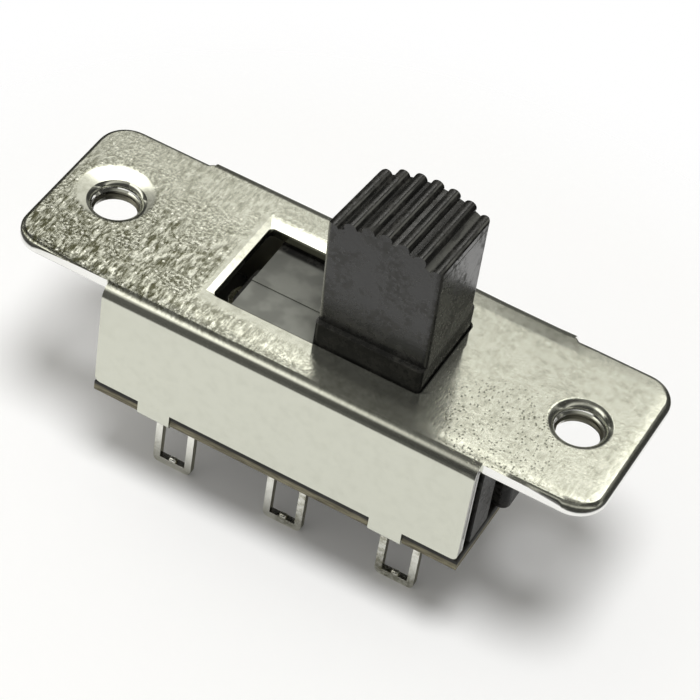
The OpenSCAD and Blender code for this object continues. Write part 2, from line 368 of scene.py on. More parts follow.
# the pressed sheet: a pair after a round's name is its width and its number of steps
sheetSizes = {
    "earStart": 11.6 * mm,
    "nearEdge": -5.547 * mm,
    "leftEarRound": (0.34 * mm, 4),
    "rightEarRound": (0.36 * mm, 5),
    "slotRound": (0.1 * mm, 3),
    "cornerRound": (0.35 * mm, 4),
    "otherRound": (0.05 * mm, 2),
    "otherSharpest": 50,
    "topWithin": 0.06 * mm,
    "slotReach": (7 * mm, 3.6 * mm),
    "cornerPast": 11.2 * mm,
    "cornerUnder": 4 * mm,
    "otherUnder": 0.3 * mm,
    # the rolls at its right end and near edge, and the longer one at the back, as shares along X
    "plateDepth": 1.4 * mm,
    "rollSteps": 6,
    "rollLength": 1.0 * mm,
    "rollDrop": 0.032 * mm,
    "frontStart": 4.5 * mm,
    "frontLength": 0.9 * mm,
    "frontDrop": 0.036 * mm,
    "backShares": ((0.5 * mm, 0.0), (7.0 * mm, 1.0), (10.2 * mm, 1.0), (12.6 * mm, 0.2)),
    "backStart": 4.3 * mm,
    "backRamp": 0.4 * mm,
    "backSteps": 4,
    "backSlope": 0.086,
    # the dish round the left hole, and the band left of the slot and behind it
    "dishPlace": (-14.62 * mm, 0.42 * mm, 0),
    "holeDish": 2.3 * mm,
    "holeSlope": 0.056,
    "holeSides": 96,
    "dishBelow": 0.1 * mm,
    "dishAbove": 0.03 * mm,
    "slotHalf": (6.3 * mm, 3.15 * mm),
    "slotDish": (-6.3 * mm, 3.4 * mm, -3.1 * mm, 3.15 * mm),
    "slotDishWide": (0.43 * mm, 1.3 * mm, 0.9 * mm),
    "slotDepth": 0.053 * mm,
    "wedgeFoot": -0.5,  # the wedge that cuts the band ends inside the slot
    "dishTilt": (2, 10),
    "dishReach": (10 * mm, 4.3 * mm),
}

# its plated finish: places are in millimetres, and heights count from the top of the plate
steelLook = {
    "tone": (0.68, 0.69, 0.6),
    "grainAndReflectionTone": (0.13, 0.13, 0.075),
    "glintTone": (0.95, 0.95, 0.86),
    "channelShadeTone": (0.16, 0.155, 0.12),
    "slotShadeTone": (0.10, 0.095, 0.06),
    "cutTone": (0.98, 0.98, 0.95),
    "metal": 0.94,
    "roughness": 0.17,
    "grainRoughness": 0.16,
    "innerRoughness": 0.25,
    "pressedPolish": 0.08,
    "relief": 0.005 * mm,
    "bumpStrength": 1.0,
    "leastRelief": 0.06,
    "streaks": {"Fine_Scale": 5.2, "Broad_Scale": 0.5, "Contrast": 2.2},
    "streakScale": (1.0, 0.36, 1.0),
    "specks": {"Fine_Scale": 5.4, "Broad_Scale": 0.35, "Contrast": 2.2},
    "patches": (0.35, 0.65),
    "mottle": {"Fine_Scale": 2.2, "Broad_Scale": 1.1, "Contrast": 1.6},
    "mottleDepth": 0.3,
    "wallShare": 0.25,
    "glintSpots": {"Scale": 2.6, "Size": 0.26, "Share": 0.6},
    "pits": {"Scale": 5.0, "Size": 0.34, "Share": 0.55},
    "pitDepth": 0.62,
    "pitPlace": (10.9, -3.0),
    "pitReach": 5.2,
    "pitCore": 0.45,
    "topFace": (-0.25, -0.03),
    "toLeft": ((4.0, -13.0), (0.22, 1.0)),
    "toFront": ((5.0, -3.0), (0.42, 1.0)),
    "bandCore": 0.5,
    "dishCore": 0.9,
    "channelTop": (-0.55, -0.62),
    "channelSide": (5.85, 5.7),
    "slotCut": (-0.1, -0.25),
    "slotEnds": (6.5, 6.4),
    "slotSides": (3.3, 3.2),
    "slotShare": 0.82,
    "endFace": (0.8, 0.95),
    "endPast": (11.2, 11.25),
    "sideFace": (0.3, 0.1),
    "sidePast": (11.35, 11.45),
    "sheetUnder": (-0.7, -0.65),
}


def steelGrain(tree, look, place):
    # grain drawn out across the slide, with round specks between its patches
    drawn = inMillimetres(tree, (-2200, 200), look["streakScale"])
    streaks = placeGroup(tree, grainGroup, (-1700, 200), drawn, **look["streaks"])
    specks = placeGroup(tree, grainGroup, (-1700, 500), place, **look["specks"])
    patches = remap(tree, (-1500, 600), specks.outputs["Broad"], look["patches"])
    return mixLevels(tree, (-1300, 400), patches, streaks.outputs["Mask"], specks.outputs["Mask"])


def pressedMask(tree, look, sizes, place, width, depth):
    # the band beside the slot and the dish round the left hole, where the punch has smoothed the grain
    slotWidth, slotDepth = [half / mm for half in sizes["slotHalf"]]
    band, dish = sizes["slotDishWide"][2] / mm, sizes["holeDish"] / mm
    fromSlot = mathNode(tree, (-1500, -1900), "MAXIMUM",
                        mathNode(tree, (-1600, -1900), "SUBTRACT", width, slotWidth),
                        mathNode(tree, (-1600, -2000), "SUBTRACT", depth, slotDepth))
    centre = [part / mm for part in sizes["dishPlace"][:2]] + [plateTop / mm]
    fromHole = distanceFrom(tree, (-1700, -2200), place, centre)
    return mathNode(tree, (-1300, -2000), "MAXIMUM",
                    remap(tree, (-1500, -2000), fromSlot, (band, band * look["bandCore"])),
                    remap(tree, (-1500, -2200), fromHole, (dish, dish * look["dishCore"])))


def cutMask(tree, look, width, height):
    # the outer cut faces: the ends of the ears and walls, and the long sides of the ears
    shape = addNode(tree, "ShaderNodeNewGeometry", (-1700, -2500))
    acrossFace, _, upFace = axesOf(tree, (-1500, -2500), shape.outputs["True Normal"])
    ends = product(tree, (-900, -2500),
                   remap(tree, (-1000, -2500), absolute(tree, (-1200, -2500), acrossFace), look["endFace"]),
                   remap(tree, (-1000, -3000), width, look["endPast"]))
    sides = product(tree, (-1000, -2700),
                    remap(tree, (-1200, -2700), upFace, look["sideFace"]),
                    remap(tree, (-1200, -2900), width, look["sidePast"]),
                    remap(tree, (-1200, -3100), height, fromHeight(plateTop / mm, look["sheetUnder"])))
    return mathNode(tree, (-800, -2600), "MAXIMUM", ends, sides)


def makeSteel(look, sizes):
    material, tree, surface = newMaterial("platedSteel")
    place = inMillimetres(tree, (-2200, -300))
    across, along, height = axesOf(tree, (-1800, -300), place)
    width = absolute(tree, (-1700, -1700), across)
    depth = absolute(tree, (-1700, -1500), along)
    topFace = remap(tree, (-1500, -300), height, fromHeight(plateTop / mm, look["topFace"]))

    # the rolled upper face, whose grain is strongest at the left ear; its dark streaks in the colour are partly
    # real grain and partly painted reflection contrast
    grain = steelGrain(tree, look, place)
    pressed = pressedMask(tree, look, sizes, place, width, depth)
    unpressed = mathNode(tree, (-1200, -2000), "SUBTRACT", 1.0, pressed)
    grainShare = product(tree, (-1200, -500),
                         remap(tree, (-1500, -500), across, *look["toLeft"]),
                         remap(tree, (-1500, -700), along, *look["toFront"]), topFace, unpressed)

    # dark pits left of the right hole and in front of it
    fromPits = distanceFrom(tree, (-1700, -900), place, (*look["pitPlace"], plateTop / mm))
    pitArea = remap(tree, (-1500, -900), fromPits, (look["pitReach"], look["pitReach"] * look["pitCore"]))
    pits = placeGroup(tree, pitGroup, (-1700, -1100), place, **look["pits"])
    pitShare = product(tree, (-1200, -900), pits.outputs["Mask"], pitArea, topFace)
    marks = mathNode(tree, (-700, 0), "MAXIMUM",
                     product(tree, (-1000, 200), grain, grainShare),
                     product(tree, (-900, -900), pitShare, look["pitDepth"]))

    # a faint mottle all over, and bright specks among the grain, which are painted glints
    mottle = placeGroup(tree, grainGroup, (-1700, 1200), place, **look["mottle"])
    anyFace = mathNode(tree, (-1100, -100), "MAXIMUM", topFace, look["wallShare"])
    cloud = product(tree, (-900, -100), mottle.outputs["Broad"], mottle.outputs["Mask"], anyFace,
                    look["mottleDepth"])
    marksAndReflection = mathNode(tree, (-500, 0), "ADD", marks, cloud)
    # grain, pits and mottle darken the tone, and the grain's share of it is partly painted reflection
    colour = mixColour(tree, (-400, 300), marksAndReflection, look["tone"], look["grainAndReflectionTone"])
    glintSpots = placeGroup(tree, pitGroup, (-1700, 900), place, **look["glintSpots"])
    glint = product(tree, (-1000, 900), glintSpots.outputs["Mask"], grainShare)
    colour = mixColour(tree, (-200, 300), glint, colour, look["glintTone"])

    # the channel's inner faces get painted shade and a rougher finish, the slot's cut faces are painted dark as
    # shade, and the outer cut faces are bright
    inside = product(tree, (-1200, -1300),
                     remap(tree, (-1500, -1300), height, fromHeight(plateTop / mm, look["channelTop"])),
                     remap(tree, (-1500, -1500), depth, look["channelSide"]))
    colour = mixColour(tree, (0, 100), inside, colour, look["channelShadeTone"])
    # painted shade on the slot's cut faces
    inSlot = product(tree, (-1200, -1700),
                     remap(tree, (-1500, -1900), width, look["slotEnds"]),
                     remap(tree, (-1500, -2100), depth, look["slotSides"]),
                     remap(tree, (-1500, -1700), height, fromHeight(plateTop / mm, look["slotCut"])),
                     look["slotShare"])
    colour = mixColour(tree, (200, 100), inSlot, colour, look["slotShadeTone"])
    colour = mixColour(tree, (400, 200), cutMask(tree, look, width, height), colour, look["cutTone"])
    tree.links.new(colour, surface.inputs["Base Color"])
    surface.inputs["Metallic"].default_value = look["metal"]

    rough = mathNode(tree, (-500, -250), "ADD",
                     product(tree, (-700, -400), pressed, -look["pressedPolish"]),
                     product(tree, (-700, -250), marks, look["grainRoughness"]),
                     look["roughness"],
                     product(tree, (-300, -250), inside, look["innerRoughness"]))
    tree.links.new(rough, surface.inputs["Roughness"])

    lift = mathNode(tree, (-500, -600), "ADD", grainShare,
                    product(tree, (-700, -600), unpressed, look["leastRelief"]))
    relief = mathNode(tree, (-100, -600), "SUBTRACT", product(tree, (-300, -600), grain, lift), pitShare)
    addBump(tree, surface, relief, look["bumpStrength"], look["relief"])
    return material


def cutAcross(piece, place, direction):
    # a new row of edges right across the piece
    startEdit(piece)
    bpy.ops.mesh.bisect(plane_co=place, plane_no=direction)
    endEdit()


def cutAway(piece, cutter):
    pickOnly(piece)
    cut = piece.modifiers.new("cut", "BOOLEAN")
    cut.object = cutter
    bpy.ops.object.modifier_apply(modifier=cut.name)
    bpy.data.objects.remove(cutter, do_unlink=True)


def rollEnds(piece, sizes):
    # the sheet curves gently down before its right end and its near edge
    ends = ((Vector((1, 0, 0)), frameHigh.x - sizes["rollLength"], sizes["rollLength"], sizes["rollDrop"]),
            (Vector((0, -1, 0)), sizes["frontStart"], sizes["frontLength"], sizes["frontDrop"]))
    for direction, start, length, drop in ends:
        for step in range(sizes["rollSteps"]):
            cutAcross(piece, direction * (start + length * step / sizes["rollSteps"]), direction)
        for vertex in piece.data.vertices:
            past = max(0.0, min(1.0, (vertex.co.dot(direction) - start) / length))
            if vertex.co.z > plateTop - sizes["plateDepth"]:
                vertex.co.z -= drop * past ** 2


def shareAt(place, shares):
    # nothing before the first place, straight lines between the places, and the last share past them
    share = 0.0
    for (x, level), (nextX, nextLevel) in zip(shares, shares[1:]):
        if x <= place <= nextX:
            share = level + (nextLevel - level) * (place - x) / (nextX - x)
    if place > shares[-1][0]:
        share = shares[-1][1]
    return share


def rollBack(piece, sizes):
    # right of the slot it leans down to the back too, after a short bend
    start, ramp = sizes["backStart"], sizes["backRamp"]
    for x, share in sizes["backShares"]:
        cutAcross(piece, (x, 0, 0), (1, 0, 0))
    for step in range(sizes["backSteps"] + 1):
        cutAcross(piece, (0, start + ramp * step / sizes["backSteps"], 0), (0, 1, 0))
    for vertex in piece.data.vertices:
        past = vertex.co.y - start
        if past > 0 and vertex.co.z > plateTop - sizes["plateDepth"]:
            run = past ** 2 / (2 * ramp) if past < ramp else past - ramp / 2
            vertex.co.z -= sizes["backSlope"] * shareAt(vertex.co.x, sizes["backShares"]) * run


def dishHole(piece, sizes):
    # the punch draws the sheet down a little round the left hole
    slope, below, above = sizes["holeSlope"], sizes["dishBelow"], sizes["dishAbove"]
    deselectAll()
    bpy.ops.mesh.primitive_cone_add(vertices=sizes["holeSides"],
                                    radius1=sizes["holeDish"] - below / slope,
                                    radius2=sizes["holeDish"] + above / slope,
                                    depth=below + above, location=sizes["dishPlace"])
    cone = bpy.context.object
    cone.location.z = plateTop + (above - below) / 2
    cutAway(piece, cone)


def dishSlot(piece, sizes):
    # and it presses a shallow band left of the slot and behind it
    left, right, near, back = sizes["slotDish"]
    leftWide, rightWide, backWide = sizes["slotDishWide"]
    depth = sizes["slotDepth"]
    deselectAll()
    bpy.ops.mesh.primitive_cube_add(size=1, location=(0, 0, 0))
    wedge = bpy.context.object
    for vertex in wedge.data.vertices:
        # how high this end of the wedge stands above the deepest part of the band, as a share of its depth
        grow = (depth + sizes["dishAbove"]) / depth if vertex.co.z > 0 else sizes["wedgeFoot"]
        vertex.co.x = right + rightWide * grow if vertex.co.x > 0 else left - leftWide * grow
        vertex.co.y = back + backWide * grow if vertex.co.y > 0 else near
        vertex.co.z = plateTop - depth * (1 - grow)
    cutAway(piece, wedge)


def buildFrameSheet(sizes, steel):
    # the pressed sheet, with its edges rounded as the punch and the bends leave them
    piece = mergedCopy("frame", "frameSheet")

    def onTop(middle):
        return abs(middle.z - plateTop) < sizes["topWithin"]

    def onEar(side):
        return lambda middle, edge: (onTop(middle) and middle.x * side > sizes["earStart"]
                                     and middle.y > sizes["nearEdge"])

    def onSlot(middle, edge):
        return (onTop(middle) and abs(middle.x) < sizes["slotReach"][0]
                and abs(middle.y) < sizes["slotReach"][1])

    def onCorner(middle, edge):
        return (abs(middle.x) > sizes["cornerPast"] and middle.z < plateTop - sizes["cornerUnder"]
                and runsAlong(edge, 1))

    def isDish(face):
        middle = face.calc_center_median()
        tilt = math.degrees(face.normal.angle((0, 0, 1), 0))
        return (sizes["dishTilt"][0] < tilt < sizes["dishTilt"][1]
                and middle.x < sizes["dishReach"][0] and abs(middle.y) < sizes["dishReach"][1])

    for side in (-1, 1):
        cutAcross(piece, (side * sizes["earStart"], 0, 0), (1, 0, 0))
    roundEdges(piece, *sizes["rightEarRound"], onEar(1))
    roundEdges(piece, *sizes["leftEarRound"], onEar(-1))
    roundEdges(piece, *sizes["slotRound"], onSlot)
    roundEdges(piece, *sizes["cornerRound"], onCorner)
    roundEdges(piece, *sizes["otherRound"],
               lambda middle, edge: middle.z < plateTop - sizes["otherUnder"], sizes["otherSharpest"])
    rollEnds(piece, sizes)
    rollBack(piece, sizes)
    dishHole(piece, sizes)
    dishSlot(piece, sizes)
    smoothByAngle(piece, isDish=isDish)
    finishPiece(piece, "base", "plated_steel", steel, "frame")


threadSizes = {
    "holeX": 14.3 * mm,
    "pitch": 0.42 * mm,
    "turn": 540.0,
    "radius": 1.42 * mm,
    "start": 12.98 * mm,
    "ridge": (0.2 * mm, 0.13 * mm),
    "steps": 72,
    "smoothBelow": 30,
}


def buildThread(name, side, sizes, steel):
    # one ridge of screw thread: a lozenge carried round the hole, and closed at both ends
    deselectAll()
    bpy.ops.mesh.primitive_circle_add(vertices=4, radius=1 * mm, location=(side * sizes["holeX"], 0, 0))
    piece = bpy.context.object
    piece.name = name
    startEdit(piece)
    wide, high = [half / mm for half in sizes["ridge"]]
    bpy.ops.transform.resize(value=(wide, high, 1), center_override=piece.location)
    bpy.ops.transform.rotate(value=math.radians(90), orient_axis="X", center_override=piece.location)
    bpy.ops.transform.translate(value=(sizes["radius"], 0, sizes["start"]))
    endEdit()
    coil = piece.modifiers.new("coil", "SCREW")
    coil.angle = math.radians(sizes["turn"])
    coil.screw_offset = sizes["pitch"] * sizes["turn"] / 360
    coil.steps = coil.render_steps = sizes["steps"]
    bpy.ops.object.modifier_apply(modifier=coil.name)
    startEdit(piece)
    bpy.ops.mesh.fill_holes(sides=4)
    bpy.ops.mesh.select_all(action="SELECT")
    bpy.ops.mesh.normals_make_consistent(inside=False)
    endEdit()
    bpy.ops.object.transform_apply(location=True, rotation=True, scale=True)
    smoothByAngle(piece, sizes["smoothBelow"])
    finishPiece(piece, "base", "plated_steel", steel)


platedSteel = makeSteel(steelLook, sheetSizes)
buildFrameSheet(sheetSizes, platedSteel)
buildThread("threadLeft", -1, threadSizes, platedSteel)
buildThread("threadRight", 1, threadSizes, platedSteel)
print("frame sheet and threads built")


sliderShape = {
    "edgeRound": (0.1 * mm, 3),
    "edgeSharpest": 40,
    "sideRound": (0.24 * mm, 4),
    "leftSide": 2.0 * mm,
    "footHeight": 15.6 * mm,
    "footSlack": 0.02 * mm,
    "crownHeight": 23.0 * mm,
    "knobRight": 6.25 * mm,
    "knobLength": 6.5 * mm,
    "knobDepth": 5.4 * mm,
    "knobReach": 3 * mm,
    "leanAtCrown": 0.2 * mm,
    "leftBulge": 0.18 * mm,
}

# heights are in millimetres
plasticLook = {
    "tone": (0.012, 0.012, 0.011),
    "scuffTone": (0.06, 0.058, 0.05),
    "recessSheenTone": (0.26, 0.265, 0.235),
    "ridgeGlintTone": (0.11, 0.11, 0.097),
    "leftEdgeHighlightTone": (0.3, 0.3, 0.26),
    "roughness": (0.24, 0.52),
    "gloss": 0.75,
    "relief": 0.004 * mm,
    "bumpStrength": 0.6,
    "grain": {"Fine_Scale": 3.4, "Broad_Scale": 0.7, "Contrast": 2.0},
    "scuffDepth": 0.55,
    # the painted reflection on the floor of the recess
    "recessFloor": 13.1,
    "sheenOver": (0.25, 0.15),
    "sheenUnder": (-0.1, -0.05),
    "sheenReach": (2.9, 2.6),
    "sheenToFront": ((2.6, -2.4), (0.55, 1.0)),
    "sheenBlotch": ((0.0, 1.0), (0.7, 1.0)),
    # the foot with a lower specular level, the painted glint lines along the ridges and the painted highlight
    # on the upright edge
    "footTop": 15.5,
    "footStep": (0.0, 0.1),
    "footGloss": 0.12,
    "lines": {"Fine_Scale": 3.0, "Broad_Scale": 0.8, "Contrast": 3.0},
    "lineScale": (0.6, 0.12, 1.0),
    "lineBreaks": ((0.2, 0.7), (0.35, 1.0)),
    "lineFrom": (0.38, 0.48),
    "lineTo": (0.7, 0.6),
    "lineUp": (0.2, 0.4),
    "lineHeight": (19.0, 19.5),
    "highlightFace": (-0.3, -0.6),
    "highlightAbove": (0.1, 0.4),
}


def makePlastic(look):
    material, tree, surface = newMaterial("blackPlastic")
    place = inMillimetres(tree, (-2200, 0))
    _, along, height = axesOf(tree, (-1800, 0), place)
    grain = placeGroup(tree, grainGroup, (-1700, 300), place, **look["grain"])
    scuffs = product(tree, (-1300, 300), grain.outputs["Mask"], grain.outputs["Broad"])

    # a grey painted reflection lies on the floor of the recess, paler towards its near side, and is left off
    # near the slot's edges, where the floor stays dark
    recessSheen = product(tree, (-1300, -200),
                   remap(tree, (-1500, 0), height, fromHeight(look["recessFloor"], look["sheenOver"])),
                   remap(tree, (-1500, -200), height, fromHeight(look["recessFloor"], look["sheenUnder"])),
                   remap(tree, (-1500, -400), absolute(tree, (-1700, -400), along), look["sheenReach"]),
                   remap(tree, (-1500, -600), along, *look["sheenToFront"]),
                   remap(tree, (-1500, -800), grain.outputs["Broad"], *look["sheenBlotch"]))
    colour = mixColour(tree, (-500, 200), product(tree, (-700, 300), scuffs, look["scuffDepth"]),
                       look["tone"], look["scuffTone"])
    colour = mixColour(tree, (-200, 100), recessSheen, colour, look["recessSheenTone"])
    marksAndReflection = mathNode(tree, (-700, -150), "MAXIMUM", scuffs, recessSheen)
    rough = remap(tree, (-500, -150), marksAndReflection, (0.0, 1.0), look["roughness"])
    tree.links.new(rough, surface.inputs["Roughness"])

    # the foot gets a lower specular level, and fine pale lines of painted glint run along the ridges
    foot = remap(tree, (-500, -700), height, fromHeight(look["footTop"], look["footStep"]),
                 (look["footGloss"], look["gloss"]))
    tree.links.new(foot, surface.inputs["Specular IOR Level"])
    drawn = inMillimetres(tree, (-2200, 700), look["lineScale"])
    lines = placeGroup(tree, grainGroup, (-1700, 700), drawn, **look["lines"])
    shape = addNode(tree, "ShaderNodeNewGeometry", (-1700, 900))
    acrossFace, alongFace, upFace = axesOf(tree, (-1500, 900), shape.outputs["Normal"])
    # painted glint on the sides of the ridge tops that face sideways
    crown = product(tree, (-1100, 700),
                    remap(tree, (-1300, 700), lines.outputs["Mask"], *look["lineBreaks"]),
                    remap(tree, (-1300, 900), acrossFace, look["lineFrom"]),
                    remap(tree, (-1300, 1100), acrossFace, look["lineTo"]),
                    remap(tree, (-1300, 1300), upFace, look["lineUp"]),
                    remap(tree, (-1300, 1500), height, look["lineHeight"]))
    colour = mixColour(tree, (100, 300), crown, colour, look["ridgeGlintTone"])

    # the knob's left upright edge gets a pale painted highlight
    leftEdgeHighlight = product(tree, (-1100, 1300),
                       remap(tree, (-1300, 1700), acrossFace, look["highlightFace"]),
                       remap(tree, (-1300, 1900), alongFace, look["highlightFace"]),
                       remap(tree, (-1300, 2100), height, fromHeight(look["footTop"], look["highlightAbove"])))
    colour = mixColour(tree, (300, 300), leftEdgeHighlight, colour, look["leftEdgeHighlightTone"])
    tree.links.new(colour, surface.inputs["Base Color"])
    addBump(tree, surface, grain.outputs["Mask"], look["bumpStrength"], look["relief"])
    return material


def leanKnob(piece, shape):
    # the moulded knob is not quite square: its front leans a little to the left as it rises
    foot, crown = shape["footHeight"], shape["crownHeight"]
    for vertex in piece.data.vertices:
        if vertex.co.z > foot - shape["footSlack"] and abs(vertex.co.y) < shape["knobReach"]:
            rise = max(0.0, min(1.0, (vertex.co.z - foot) / (crown - foot)))
            front = max(0.0, min(1.0, 0.5 - vertex.co.y / shape["knobDepth"]))
            left = max(0.0, min(1.0, (shape["knobRight"] - vertex.co.x) / shape["knobLength"]))
            vertex.co.x -= front * (shape["leanAtCrown"] * rise + shape["leftBulge"] * left)


def buildSlider(shape, plastic):
    piece = mergedCopy("slider", "sliderMoulding")
    roundEdges(piece, *shape["sideRound"], lambda middle, edge: (
        middle.x < shape["leftSide"] and middle.z > shape["footHeight"] and runsAlong(edge, 2)))
    roundEdges(piece, *shape["edgeRound"], lambda middle, edge: True, shape["edgeSharpest"])
    mergeClose(piece)
    leanKnob(piece, shape)
    smoothByAngle(piece)
    finishPiece(piece, "slide", "black_plastic", plastic, "slider")


buildSlider(sliderShape, makePlastic(plasticLook))
print("slider built")


boardShape = {
    "topRound": (0.2 * mm, 2),
    "bottomRound": (0.08 * mm, 2),
    "faceWithin": 0.01 * mm,
    "sharpest": 60,
}
laminateLook = {
    "paleTone": (0.27, 0.245, 0.15),
    "darkTone": (0.09, 0.078, 0.042),
    "shadeAndEdgeTone": (0.012, 0.011, 0.008),
    "rim": 0.48,
    "rimCore": 0.7,
    "foot": 0.1,
    "footCore": 0.5,
    "plies": {"Fine_Scale": 9.0, "Broad_Scale": 0.9, "Contrast": 1.7},
    "plyScale": (0.1, 0.1, 1.0),
    "roughness": (0.5, 0.65),
    "relief": 0.012 * mm,
    "bumpStrength": 0.6,
}


def makeLaminate(look):
    # thin plies, with painted shade along the top under the frame's walls, and a narrow darker band at the
    # bottom
    material, tree, surface = newMaterial("laminate")
    drawn = inMillimetres(tree, (-1300, 0), look["plyScale"])
    plies = placeGroup(tree, grainGroup, (-800, 0), drawn, **look["plies"])
    colour = mixColour(tree, (-200, 100), plies.outputs["Mask"], look["paleTone"], look["darkTone"])
    height = axesOf(tree, (-800, -400), inMillimetres(tree, (-1300, -400)))[2]
    top, bottom = boardHigh.z / mm, boardLow.z / mm
    topSpan = (top - look["rim"], top - look["rim"] * look["rimCore"])
    bottomSpan = (bottom + look["foot"], bottom + look["foot"] * look["footCore"])
    rim = mathNode(tree, (-300, -500), "MAXIMUM",
                   remap(tree, (-500, -400), height, topSpan), remap(tree, (-500, -600), height, bottomSpan))
    tree.links.new(mixColour(tree, (0, 200), rim, colour, look["shadeAndEdgeTone"]), surface.inputs["Base Color"])
    rough = remap(tree, (-200, -150), plies.outputs["Mask"], (0.0, 1.0), look["roughness"])
    tree.links.new(rough, surface.inputs["Roughness"])
    addBump(tree, surface, plies.outputs["Mask"], look["bumpStrength"], look["relief"])
    return material


def buildBoard(shape, laminate):
    piece = mergedCopy("terminal_board", "terminalBoard")
    roundEdges(piece, *shape["topRound"],
               lambda middle, edge: middle.z > boardHigh.z - shape["faceWithin"], shape["sharpest"])
    roundEdges(piece, *shape["bottomRound"],
               lambda middle, edge: middle.z < boardLow.z + shape["faceWithin"], shape["sharpest"])
    smoothByAngle(piece)
    finishPiece(piece, "base", "laminate", laminate, "terminal_board")


metalLooks = {
    "tinnedBrass": {"pale": (0.93, 0.93, 0.86), "dark": (0.24, 0.23, 0.14), "flankShadeDepth": 0.85,
                    "roughness": (0.22, 0.37), "scale": 2.6},
    "contactAlloy": {"pale": (0.78, 0.56, 0.30), "dark": (0.40, 0.25, 0.12), "flankShadeDepth": 0.0,
                     "roughness": (0.22, 0.37), "scale": 2.5},
    "springWire": {"pale": (0.62, 0.63, 0.65), "dark": (0.35, 0.35, 0.35), "flankShadeDepth": 0.0,
                   "roughness": (0.2, 0.35), "scale": 5.0},
}
tarnishAndShadeLook = {
    "contrast": 1.6,
    "broadShare": 6,
    "flankShadeFace": (0.4, 0.85),
    "relief": 0.005 * mm,
    "bumpStrength": 0.5,
}


def makeMetal(name, look, tarnishAndShade):
    # a plain metal with an uneven tarnish, and painted shade on the flanks that face sideways where the look
    # asks for it
    material, tree, surface = newMaterial(name)
    grain = placeGroup(tree, grainGroup, (-800, 0), inMillimetres(tree, (-1300, 0)), Fine_Scale=look["scale"],
                       Broad_Scale=look["scale"] / tarnishAndShade["broadShare"], Contrast=tarnishAndShade["contrast"])
    tarnish = product(tree, (-500, 0), grain.outputs["Mask"], grain.outputs["Broad"])
    shape = addNode(tree, "ShaderNodeNewGeometry", (-1300, 600))
    acrossFace = axesOf(tree, (-1100, 600), shape.outputs["Normal"])[0]
    # painted shade on the faces that point sideways
    flank = remap(tree, (-700, 400), absolute(tree, (-900, 600), acrossFace), tarnishAndShade["flankShadeFace"])
    tarnishAndFlankShade = mathNode(tree, (-300, 400), "MAXIMUM", tarnish, product(tree, (-500, 400), flank, look["flankShadeDepth"]))
    tree.links.new(mixColour(tree, (-200, 100), tarnishAndFlankShade, look["pale"], look["dark"]), surface.inputs["Base Color"])
    rough = remap(tree, (-200, -150), tarnish, (0.0, 1.0), look["roughness"])
    tree.links.new(rough, surface.inputs["Roughness"])
    surface.inputs["Metallic"].default_value = 1.0
    addBump(tree, surface, grain.outputs["Mask"], tarnishAndShade["bumpStrength"], tarnishAndShade["relief"])
    return material


terminalShape = {
    "cornerRound": (0.35 * mm, 4),
    "cornerUnder": 0.02 * mm,
    "edgeRound": (0.17 * mm, 4),
    "edgeSharpest": 40,
}
bridgeShape = {
    "edgeRound": (0.05 * mm, 2),
    "edgeSharpest": 40,
}
nibShape = {
    "half": (0.26 * mm, 0.19 * mm, 0.23 * mm),
    "forward": 0.03 * mm,
    "barTop": 0.45 * mm,
    "round": (0.17 * mm, 3),
}


def buildTerminal(node, shape, tin):
    piece = mergedCopy(node, node.replace("terminal_", "lug_"))
    roundEdges(piece, *shape["cornerRound"],
               lambda middle, edge: middle.z < shape["cornerUnder"] and runsAlong(edge, 1))
    roundEdges(piece, *shape["edgeRound"], lambda middle, edge: True, shape["edgeSharpest"])
    smoothByAngle(piece)
    finishPiece(piece, "base", "tinned_terminal", tin, node)


def buildNib(node, shape, tin):
    # a small bead of tin stands in the middle of each lug's bar
    low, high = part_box(node)
    width, steps = shape["round"]
    deselectAll()
    bpy.ops.mesh.primitive_cube_add(size=2, location=(0, 0, 0))
    piece = bpy.context.object
    piece.name = node.replace("terminal_", "nib_")
    startEdit(piece)
    bpy.ops.transform.resize(value=shape["half"])
    bpy.ops.mesh.bevel(offset=width, segments=steps, affect="EDGES")
    bpy.ops.transform.translate(value=((low.x + high.x) / 2, (low.y + high.y) / 2 - shape["forward"],
                                       shape["barTop"]))
    endEdit()
    smoothByAngle(piece)
    finishPiece(piece, "base", "tinned_terminal", tin)


def buildBridge(node, shape, alloy):
    piece = mergedCopy(node, node.replace("contact_bridge", "bridge"))
    roundEdges(piece, *shape["edgeRound"], lambda middle, edge: True, shape["edgeSharpest"])
    smoothByAngle(piece)
    finishPiece(piece, "slide", "contact_alloy", alloy, node)


def dressSpring(node, wire):
    # a spring keeps its CAD mesh
    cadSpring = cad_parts[node]
    cadSpring.data.materials.clear()
    cadSpring.data.materials.append(wire)


buildBoard(boardShape, makeLaminate(laminateLook))
tinnedBrass, contactAlloy, springWire = [
    makeMetal(name, look, tarnishAndShadeLook) for name, look in metalLooks.items()]
for node in sorted(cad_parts):
    if node.startswith("terminal_") and node != "terminal_board":
        buildTerminal(node, terminalShape, tinnedBrass)
        buildNib(node, nibShape, tinnedBrass)
    if node.startswith("contact_bridge"):
        buildBridge(node, bridgeShape, contactAlloy)
    if node.startswith("contact_spring"):
        dressSpring(node, springWire)
print("board, terminals, bridges and springs done")


floorLook = {
    "tone": (0.93, 0.93, 0.93),
    "roughness": 0.9,
    "seenLift": 0.05,
    "fade": (27.0, 42.0),
    "radius": 60 * mm,
    "sides": 96,
}
lampLook = {
    "place": (0.09, -0.14, 0.8),
    "size": 0.3,
    "power": 4.5,
}

